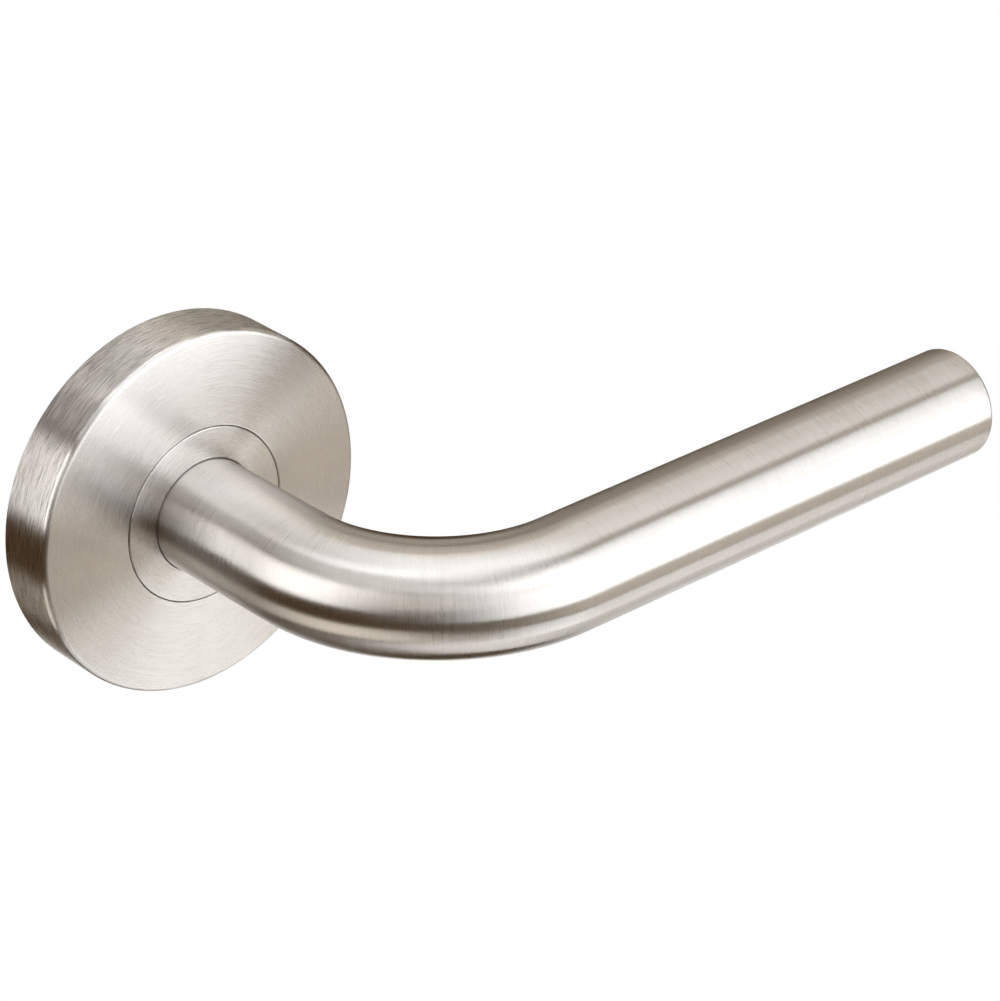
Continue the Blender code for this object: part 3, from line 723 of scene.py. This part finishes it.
def spindle():
    """The drawn square bar, with rounded edges and chamfered ends."""
    low, high = (Vector(corner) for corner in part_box("spindle"))
    bar = block("square_spindle", high - low, (low + high) / 2)
    soften(bar, 0.45 * MM, segments=4)
    dress(bar, plated, "lever", "spindle")


def sector(first, last, low, high, steps=24):
    """The (x, z) outline of an annular sector between two radii."""
    turns = [first + (last - first) * step / steps for step in range(steps + 1)]
    return [place_at(high, turn) for turn in turns] + [place_at(low, turn) for turn in reversed(turns)]


def double_d(radius, half_flats, steps=32):
    """The (x, z) outline of a circle cut by two flats that face +X and -X."""
    limit = degrees(asin(half_flats / radius))
    turns = [-limit + 2 * limit * step / steps for step in range(steps + 1)]
    return [place_at(radius, middle + turn) for middle in (90, 270) for turn in turns]


def spring_driver():
    """The pressed plate keyed on the hub's flats, with the lug that winds the spring."""
    low, high, radius = 2.95 * MM, 4.35 * MM, 11.0 * MM
    lug_outer, lug_rear, overlap = 10.95 * MM, 0.3 * MM, 0.5 * MM
    plate = turned("spring_cam_plate", plain_rod(radius, low, high), SIDES)
    first, last = LUG_ANGLE - LUG_HALF_ANGLE, LUG_ANGLE + LUG_HALF_ANGLE
    outline = sector(first, last, LUG_INNER_RADIUS, lug_outer, steps=8)
    join(plate, prism("lug", outline, lug_rear, low + overlap))
    half_flats = 7.0 * MM
    keyway = double_d(JOURNAL_RADIUS + CLEARANCE, half_flats)
    cut(plate, prism("keyway", keyway, low - overlap, high + overlap))
    soften(plate, 0.12 * MM)
    dress(plate, plated, "lever", "spring_driver")


def retaining_ring():
    """The external circlip: tapering from its middle to its two ears, each with a round eye."""
    low, high, inner = 1.65 * MM, 2.55 * MM, 7.55 * MM
    thin, thick, ear = 8.45 * MM, 8.95 * MM, 10.7 * MM
    eye_place, eye_radius, eye_turn = 9.4 * MM, 0.65 * MM, 8
    ear_turn, shoulder_turn = 13, 5
    opening, half_gap, steps = LUG_ANGLE - 180, 14, 120
    first, last = opening + half_gap, opening + 360 - half_gap
    outer_line, inner_line = [], []
    for step in range(steps + 1):
        turn = first + (last - first) * step / steps
        taper = 1.0 - abs(turn - opening - 180) / 180
        band = thin + (thick - thin) * taper
        from_end = min(turn - first, last - turn)
        blend = min(1.0, max(0.0, (from_end - ear_turn) / shoulder_turn))
        smooth = blend * blend * (3 - 2 * blend)
        outer_line.append(place_at(ear + (band - ear) * smooth, turn))
        inner_line.append(place_at(inner, turn))
    ring = prism("circlip", outer_line + inner_line[::-1], low, high)
    eyes = []
    for turn in (first + eye_turn, last - eye_turn):
        eye = plain_rod(eye_radius, low - MM, high + MM)
        eyes.append(rod(f"eye_{turn:.0f}", eye, place_at(eye_place, turn), SMALL_SIDES))
    cut(ring, *eyes)
    soften(ring, 0.10 * MM)
    dress(ring, spring_steel, "lever", "retaining_ring")


def thrust_washer():
    inner, outer, rear, front, edge = (JOURNAL_RADIUS + CLEARANCE) / MM, 11.0, 4.65, 5.15, 0.1
    corners = [(inner, rear, edge), (outer, rear, edge), (outer, front, edge), (inner, front, edge)]
    washer = turned("thrust_ring", rounded(corners, steps=3), SIDES)
    dress(washer, plated, "lever", "thrust_washer")


def wave_washer():
    """A thin spring washer with three waves round its circle."""
    low, high = node_rear("wave_washer"), node_front("wave_washer")
    inner, outer, sheet, edge = 8.4, 10.9, 0.3, 0.06
    waves, sides = 3, SIDES * 2
    middle, lift = (low + high) / 2, (high - low - sheet * MM) / 2
    half = sheet / 2
    corners = [(inner, -half, edge), (outer, -half, edge), (outer, half, edge), (inner, half, edge)]
    section = rounded(corners, steps=2)
    rings = []
    for radius, offset in section:
        ring = []
        for side in range(sides):
            angle = 360 * side / sides
            ring.append(around(radius, angle, middle + lift * cos(radians(waves * angle)) + offset))
        rings.append(ring)
    washer = loft("wave_spring_washer", rings, distances(section), True)
    dress(washer, spring_steel, "lever", "wave_washer")


# The parts that stay on the door.


def base_plate():
    """The die-cast inner rose: spring housing, ribbed web with screw bosses, and grooved rim."""
    rim, front = BASE_RADIUS / MM, BASE_FRONT / MM
    inner, outer = HOUSING_INNER_RADIUS / MM, HOUSING_OUTER_RADIUS / MM
    bush_hole, housing_top = 10.3, 7.6
    recess, recess_depth = 20.3, 1.2
    groove, groove_rear, groove_front = 29.6, 3.0, 4.6
    rim_front, rim_inner_front, rim_inner_rear, web_front = 6.5, 28.6, 28.4, 3.0
    corners = [
        (bush_hole, front, 0.15),
        (bush_hole, housing_top, 0.15),
        (inner, housing_top, 0.3),
        (inner, recess_depth, 0.1),
        (recess, recess_depth, 0.15),
        (recess, 0, 0.15),
        (rim, 0, 0.25),
        (rim, groove_rear, 0.1),
        (groove, groove_rear, 0.15),
        (groove, groove_front, 0.15),
        (rim, groove_front, 0.1),
        (rim, rim_front, 0.3),
        (rim_inner_front, rim_front, 0.3),
        (rim_inner_rear, web_front, 0.4),
        (outer, web_front, 0.4),
        (outer, front, 0.3),
    ]
    plate = turned("inner_rose_casting", rounded(corners, steps=3), FINE_SIDES)
    added = []
    ribs, rib_inner, rib_outer = 8, 14.2 * MM, 28.9 * MM
    rib_height, rib_depth, rib_width = 3.75 * MM, 2.5 * MM, 1.6 * MM
    size = (rib_outer - rib_inner, rib_depth, rib_width)
    centre = ((rib_inner + rib_outer) / 2, -rib_height, 0)
    for number in range(ribs):
        added.append(block(f"rib_{number}", size, centre, 360 / ribs * (number + 0.5)))
    boss_foot, boss_top, boss_rear, boss_front = 2.9, 2.7, 2.5, 6.0
    corners = [(0, boss_rear, 0), (boss_foot, boss_rear, 0), (boss_top, boss_front, 0.3), (0, boss_front, 0)]
    boss = rounded(corners, closed=False, steps=3)
    for angle in SCREW_ANGLES:
        added.append(rod(f"boss_{angle}", boss, place_at(SCREW_CIRCLE, angle)))
    join(plate, *added)
    taken = []
    drilling = plain_rod(1.4 * MM, 0.5 * MM, 5.2 * MM)
    for angle in SCREW_ANGLES:
        taken.append(rod(f"drilling_{angle}", drilling, place_at(SCREW_CIRCLE, angle), SMALL_SIDES))
    fixing_hole = plain_rod(3.3 * MM, -1.0 * MM, 4.0 * MM)
    for side in (-1, 1):
        taken.append(rod(f"fixing_{side}", fixing_hole, (0, side * FIXING_OFFSET)))
    width = 2 * (SPRING_WIRE_RADIUS + CLEARANCE)
    wall, wall_middle = 2.4 * MM, (HOUSING_INNER_RADIUS + HOUSING_OUTER_RADIUS) / 2
    centre = (wall_middle, -spring_front_height(), 0)
    taken.append(block("anchor", (wall, width, width), centre, spring_leg_angle()))
    cut(plate, *taken)
    soften(plate, 0.15 * MM)
    dress(plate, zinc, "base", "base_plate")


def spring_leg_angle():
    """Where the spring's moving leg lies beside the lug, on the side that the lug pushes."""
    return LUG_ANGLE - LUG_HALF_ANGLE - degrees(asin((CLEARANCE + SPRING_WIRE_RADIUS) / LUG_INNER_RADIUS))


def spring_rear_height():
    return node_rear("return_spring") + SPRING_WIRE_RADIUS


def spring_front_height():
    return node_front("return_spring") - SPRING_WIRE_RADIUS


def return_spring():
    """The torsion spring. Its rear leg lies beside the driver's lug, and its front leg in the housing's
    anchor.
    """
    start, rear, front = spring_leg_angle(), spring_rear_height(), spring_front_height()
    rear_leg, front_leg = (9.8 * MM, 10.6 * MM), 14.2 * MM
    corner, corner_steps, turn_steps = 1.0 * MM, 6, 56
    swing = degrees(corner / SPRING_COIL_RADIUS)
    points = [around(radius, start, rear) for radius in rear_leg]
    for step in range(corner_steps):
        turn = pi / 2 * step / corner_steps
        radius = SPRING_COIL_RADIUS - corner + corner * sin(turn)
        points.append(around(radius, start + swing * (1 - cos(turn)), rear))
    sweep = 360 * SPRING_TURNS - 2 * swing
    count = SPRING_TURNS * turn_steps
    for step in range(count + 1):
        part = step / count
        points.append(around(SPRING_COIL_RADIUS, start + swing + sweep * part, rear + (front - rear) * part))
    for step in range(1, corner_steps + 1):
        turn = pi / 2 * step / corner_steps
        radius = SPRING_COIL_RADIUS + corner * (1 - cos(turn))
        points.append(around(radius, start - swing * (1 - sin(turn)), front))
    points.append(around(front_leg, start, front))
    spring = wire("torsion_spring", points, SPRING_WIRE_RADIUS)
    spring.data.materials.append(spring_steel)
    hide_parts("return_spring")
    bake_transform(spring)


def bearing_bush():
    bore, flange, sleeve = 8.3, BUSH_RADIUS / MM, 10.0
    rear, flange_front, front = 6.5, 7.3, BASE_FRONT / MM
    corners = [
        (bore, rear, 0.2),
        (flange, rear, 0.15),
        (flange, flange_front, 0.15),
        (sleeve, flange_front, 0.1),
        (sleeve, front, 0.2),
        (bore, front, 0.2),
    ]
    bush = turned("nylon_bush", rounded(corners, steps=3), SIDES)
    dress(bush, nylon, "base", "bearing_bush")


def neck_collar():
    """The turned ring in the middle of the rose, drawn over the front of the spring housing."""
    bore, outer, front = TUBE_RADIUS / MM + 0.12, COLLAR_RADIUS / MM + 0.1, COLLAR_FRONT / MM
    skirt = (HOUSING_OUTER_RADIUS + CLEARANCE) / MM
    rear, step, edge = 8.0, 10.2, ROSE_FRONT / MM - 0.02
    corners = [
        (bore, step, 0.1),
        (skirt, step, 0.2),
        (skirt, rear, 0.1),
        (outer, rear, 0.1),
        (outer, edge, 0.22),
        (bore, front, 0.22),
    ]
    collar = turned("collar_ring", rounded(corners, steps=5), FINE_SIDES)
    dress(collar, collar_metal, "base", "neck_collar")


def cassette_cover():
    """The pressed plate over the spring housing: an arc slot, two notches and four countersunk holes."""
    low, high, edge, hole = 0.1 * MM, 0.9 * MM, 20.0 * MM, 8.4 * MM
    slot_outer, slot_gap, notch = 11.4 * MM, 1.7, 4.5 * MM
    plate = turned("cassette_back_plate", [(hole, low), (edge, low), (edge, high), (hole, high)], FINE_SIDES)
    first = LUG_ANGLE - LUG_HALF_ANGLE - LEVER_TRAVEL - slot_gap
    last = LUG_ANGLE + LUG_HALF_ANGLE + slot_gap
    taken = [prism("slot", sector(first, last, hole - 0.5 * MM, slot_outer), low - MM, high + MM)]
    for side in (-1, 1):
        taken.append(rod(f"notch_{side}", plain_rod(notch, -MM, 2 * MM), (0, side * FIXING_OFFSET), sides=64))
    sink_wide, sink_narrow, sink_rear, sink_front = 2.77 * MM, 1.4 * MM, -0.2 * MM, 1.17 * MM
    sink = [(0, sink_rear), (sink_wide, sink_rear), (sink_narrow, sink_front), (0, sink_front)]
    for angle in SCREW_ANGLES:
        taken.append(rod(f"sink_{angle}", sink, place_at(SCREW_CIRCLE, angle)))
    cut(plate, *taken)
    soften(plate, 0.08 * MM)
    dress(plate, plated, "base", "cassette_cover")


def cassette_screw(number, angle):
    """A countersunk screw with a cross recess and a cut thread."""
    head, shank, rear, tip, point = 2.0, 1.1, 0.15, 4.9, 0.3
    neck = rear + head - shank
    corners = [
        (0, rear, 0),
        (head, rear, 0.08),
        (shank, neck, 0.1),
        (shank, tip - point, 0),
        (shank - point, tip, 0.1),
        (0, tip, 0),
    ]
    profile = rounded(corners, closed=False, steps=3)
    pitch, depth = 0.45 * MM, 0.16 * MM
    low, high = (neck + 0.3) * MM, (tip - point) * MM
    screw = threaded(f"back_plate_screw_{number}", profile, shank * MM, pitch, depth, low, high)
    arm = Vector((2.3, 1.3, 0.55)) * MM
    cut(screw, *[block(f"recess_{turn}", arm, (0, 0, 0), turn) for turn in (0, 90)])
    x, z = place_at(SCREW_CIRCLE, angle)
    screw.data.transform(Matrix.Translation((x, 0, z)))
    dress(screw, plated, "base", f"cassette_screw_{number}")


def cover_retaining_ring():
    """The split wire ring in the rim's groove that grips the cover rose from inside."""
    radius, wire_radius, half_gap, steps = 30.6 * MM, 0.6 * MM, 10, 180
    height = (node_front("cover_retaining_ring") + node_rear("cover_retaining_ring")) / 2
    first, sweep = half_gap - 90, 360 - 2 * half_gap
    points = [around(radius, first + sweep * step / steps, height) for step in range(steps + 1)]
    ring = wire("wire_snap_ring", points, wire_radius, sides=12)
    dress(ring, spring_steel, "base", "cover_retaining_ring")


def sleeve_nut(node, side):
    """A sleeve with a thread in its bore, open at its rear end and slotted at its head."""
    rear = node_rear(node) / MM
    core, barrel, head, seat, front = 1.65, 3.0, 3.9, 3.3, 5.3
    bore_end, bore_chamfer = 3.0, 0.4
    corners = [
        (0, bore_end + 0.4, 0),
        (core, bore_end, 0),
        (core, rear + bore_chamfer, 0),
        (core + bore_chamfer, rear, 0.05),
        (barrel, rear, 0.25),
        (barrel, seat, 0.1),
        (head, seat, 0.15),
        (head, front, 0.5),
        (0, front, 0),
    ]
    profile = rounded(corners, closed=False, steps=4)
    pitch, depth = 0.7 * MM, -0.33 * MM
    low, high = (rear + bore_chamfer) * MM, bore_end * MM
    nut = threaded(node.replace("nut", "bolt"), profile, core * MM, pitch, depth, low, high)
    cut(nut, block("drive_slot", Vector((10.0, 2.0, 1.0)) * MM, (0, -front * MM, 0)))
    nut.data.transform(Matrix.Translation((0, 0, side * FIXING_OFFSET)))
    dress(nut, plated, "base", node)


# The cover rose.


def cover_rose():
    """The drawn cover: a deep rim, a rounded front edge and a very flat conical face.

    The rim and the face differ in grain.
    """
    sheet, edge_round = 1.0, 1.0
    hole, outer = COLLAR_RADIUS / MM + 0.22, ROSE_RADIUS / MM
    rim, front = 10.8, ROSE_FRONT / MM
    inner = outer - sheet
    corners = [
        (inner, 0, 0.2),
        (outer, 0, 0.2),
        (outer, rim, edge_round),
        (hole, front, 0.22),
        (hole, front - sheet, 0.1),
        (inner, rim - sheet, 0.6),
    ]
    cover = turned("round_rose_cover", rounded(corners, steps=10), FINE_SIDES)
    cover.data.materials.append(face_metal)
    cover.data.materials.append(rim_metal)
    # A face that hardly faces the front or the door belongs to the rim.
    hardly = 0.35
    for face in cover.data.polygons:
        if abs(face.normal.y) < hardly:
            face.material_index = 1
    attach(cover, "cover")
    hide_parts("cover_rose")


# The studio.


def outward(azimuth, elevation):
    """The direction at an azimuth and an elevation in degrees.

    The azimuth is measured from straight in front of the door, towards the grip's end.
    """
    turn, lift = radians(azimuth), radians(elevation)
    return Vector((sin(turn) * cos(lift), -cos(turn) * cos(lift), sin(lift)))


def camera():
    """A long lens in front of the rose, to its left and above it, aimed past it at the lever's middle."""
    distance, rightwards, upwards = 629.69 * MM, 56.706 * MM, -1.722 * MM
    toward = outward(-41.652, 28.434)
    right = Vector((0, 0, 1)).cross(toward).normalized()
    up = toward.cross(right)
    place = toward * distance + right * rightwards + up * upwards
    data = bpy.data.cameras.new("camera")
    data.sensor_width = 36.0
    data.sensor_fit = "AUTO"
    data.lens = 134.146
    data.clip_start = 0.01
    data.clip_end = 20.0
    thing = bpy.data.objects.new("camera", data)
    bpy.context.scene.collection.objects.link(thing)
    thing.matrix_world = Matrix.Translation(place) @ Matrix((right, up, toward)).transposed().to_4x4()
    bpy.context.scene.camera = thing


def softbox(name, azimuth, elevation, width, height, brightness, tint):
    """An area light aimed at the middle of the lever.

    Its width and height are the angles that it fills, in degrees. A mirror would show it at its brightness,
    with 1 as white.
    """
    direction = outward(azimuth, elevation)
    data = bpy.data.lights.new(name, "AREA")
    data.shape = "RECTANGLE"
    data.size = 2 * LIGHT_DISTANCE * tan(radians(width / 2))
    data.size_y = 2 * LIGHT_DISTANCE * tan(radians(height / 2))
    data.energy = brightness * pi * data.size * data.size_y
    data.color = tint
    thing = bpy.data.objects.new(name, data)
    thing.visible_camera = False
    thing.location = LIGHT_TARGET + direction * LIGHT_DISTANCE
    thing.rotation_euler = direction.to_track_quat("Z", "Y").to_euler()
    bpy.context.scene.collection.objects.link(thing)


def floor():
    """A plain pale floor that curves up into a wall and a ceiling all round. Only the camera sees it."""
    depth, reach, cove, steps = 0.7, 1.8, 1.0, 12
    radius, centre = reach + cove, cove - depth
    turns = [pi / 2 * step / steps for step in range(1, steps + 1)]
    profile = [(0, -depth), (reach, -depth)]
    profile += [(reach + cove * sin(turn), centre - cove * cos(turn)) for turn in turns]
    profile += [(radius * cos(turn), centre + radius * sin(turn)) for turn in turns[:-1]]
    profile.append((0, centre + radius))
    thing = turned("floor", profile)
    thing.data.transform(Matrix.Rotation(-pi / 2, 4, "X"))
    look = Look("pale_floor", (0.0, 0.0, 0.0), 0.9, metallic=0.0)
    look.shader.inputs["Base Color"].default_value = (0, 0, 0, 1)
    look.shader.inputs["Specular IOR Level"].default_value = 0.0
    look.shader.inputs["Emission Color"].default_value = (1, 1, 1, 1)
    look.shader.inputs["Emission Strength"].default_value = 1.0
    thing.data.materials.append(look.material)
    thing.visible_diffuse = False
    thing.visible_glossy = False
    thing.visible_transmission = False
    thing.visible_shadow = False


# Each softbox: its azimuth and elevation, its width and height, its brightness and its tint.
NEUTRAL, COOL, WARM = (1.0, 1.0, 1.0), (0.97, 1.0, 1.03), (1.0, 0.94, 0.84)
LIGHTS = {
    "front_box": (33, 2, 48, 40, 2.35, COOL),
    "front_left_box": (-4, 2, 26, 40, 1.8, COOL),
    "rear_box": (180, 6, 44, 40, 0.32, NEUTRAL),
    "front_top_box": (20, 37, 62, 26, 2.2, COOL),
    "left_strip": (-105, 14, 42, 40, 2.5, NEUTRAL),
    "left_top": (-90, 56, 60, 30, 0.90, NEUTRAL),
    "ceiling": (20, 88, 50, 50, 1.6, COOL),
    "right_top": (100, 55, 66, 26, 0.58, WARM),
    "rear_top": (172, 56, 54, 34, 0.34, WARM),
    "front_left_card": (-48, 20, 36, 26, 0.42, WARM),
    "rear_card": (140, 20, 44, 26, 0.36, WARM),
    "right_card": (98, 22, 36, 26, 0.48, WARM),
    "rear_left_card": (-140, 12, 24, 20, 0.20, WARM),
    "floor_left": (-92, -46, 50, 22, 1.03, WARM),
    "floor_front_left": (-20, -48, 30, 18, 0.16, WARM),
    "floor_front": (28, -48, 36, 20, 1.45, COOL),
    "floor_middle": (0, -74, 50, 30, 1.0, NEUTRAL),
    "floor_right": (68, -46, 28, 24, 0.54, WARM),
    "floor_far_right": (104, -46, 28, 24, 0.60, NEUTRAL),
    "floor_rear_right": (139, -42, 40, 26, 1.05, NEUTRAL),
    "front_low": (39, -27, 50, 18, 0.71, WARM),
    "front_low_left": (-8, -29, 24, 14, 0.15, WARM),
    "right_low": (84, -22, 40, 20, 0.26, WARM),
}


def studio():
    """The softboxes, and a dim warm world for the gaps between them."""
    world = bpy.data.worlds.new("studio")
    world.use_nodes = True
    background = world.node_tree.nodes["Background"]
    background.inputs["Color"].default_value = (1.0, 0.60, 0.28, 1)
    background.inputs["Strength"].default_value = 0.078
    bpy.context.scene.world = world
    bpy.context.scene.view_settings.view_transform = "Standard"
    for name, values in LIGHTS.items():
        softbox(name, *values)


# The scene.

lever_tube()
grip_end_plug()
lever_hub()
grub_screw()
spindle()
spring_driver()
retaining_ring()
thrust_washer()
wave_washer()
base_plate()
return_spring()
bearing_bush()
neck_collar()
cassette_cover()
for screw_number, screw_angle in enumerate(SCREW_ANGLES, 1):
    cassette_screw(screw_number, screw_angle)
cover_retaining_ring()
sleeve_nut("sleeve_nut_upper", 1)
sleeve_nut("sleeve_nut_lower", -1)
cover_rose()
camera()
floor()
studio()
